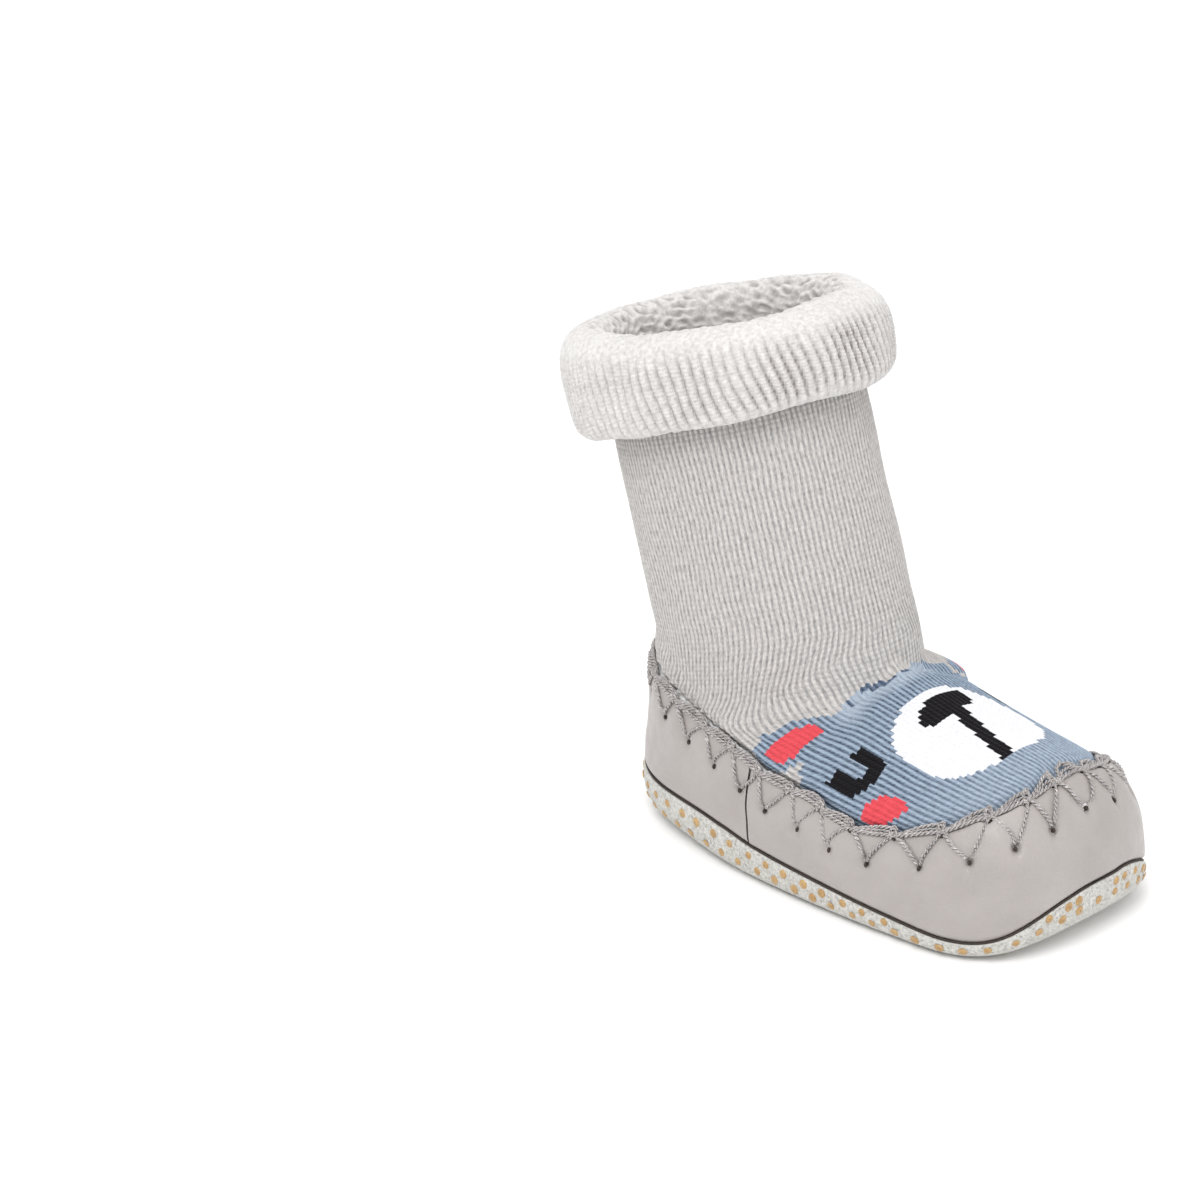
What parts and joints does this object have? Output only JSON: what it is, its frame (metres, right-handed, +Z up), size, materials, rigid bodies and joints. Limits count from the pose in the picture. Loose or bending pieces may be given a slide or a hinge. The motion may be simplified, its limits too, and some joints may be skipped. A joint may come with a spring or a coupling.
{
  "type": "baby bootie",
  "caption": "Knitted baby sock with a turned-down terry cuff and a face knitted into its top, sewn into a soft leather moccasin with a textile sole.",
  "frame": {"origin": "centre of the whole object's footprint box, on the plane that the sole rests on", "axes": "toe towards -Y, heel towards +Y, +X to the wearer's left, +Z up"},
  "size_m": [0.068, 0.1396, 0.1203],
  "materials": {
    "grey_knit": "fine plain knit, heather",
    "grey_terry": "looped terry knit",
    "taupe_leather": "soft satin grain",
    "white_felt": "felt",
    "sole_canvas": "speckled textile with raised grip dots",
    "foam": "open-cell foam",
    "silver_cord": "shiny twisted cord",
    "dark_thread": "matt thread"
  },
  "bodies": {
    "foot": {"outsole": "sole_canvas", "midsole_pad": "foam", "insole": "white_felt", "sock_foot": "grey_knit", "toe_seam": "grey_knit", "vamp_wrap": "taupe_leather", "heel_wrap": "taupe_leather", "vamp_lining": "white_felt", "heel_lining": "white_felt", "side_seam_right": "dark_thread", "side_seam_left": "dark_thread", "sole_seam_thread": "dark_thread", "edge_stitch_chain": "silver_cord", "edge_stitch_zigzag": "silver_cord"},
    "leg": {"sock_leg": "grey_knit"},
    "cuff": {"cuff": "grey_terry", "cuff_hem": "grey_terry"}
  },
  "joints": [
    {"name": "ankle_flex", "type": "hinge", "parent": "foot", "child": "leg", "pos_m": [0, 0.0153, 0.04], "axis": [1, 0, 0], "range_deg": [0, 25], "stiffness_Nm_per_rad": 0.08},
    {"name": "cuff_turn", "type": "slide", "parent": "leg", "child": "cuff", "axis": [0, 0.309, 0.9511], "range_m": [0, 0.01]}
  ]
}
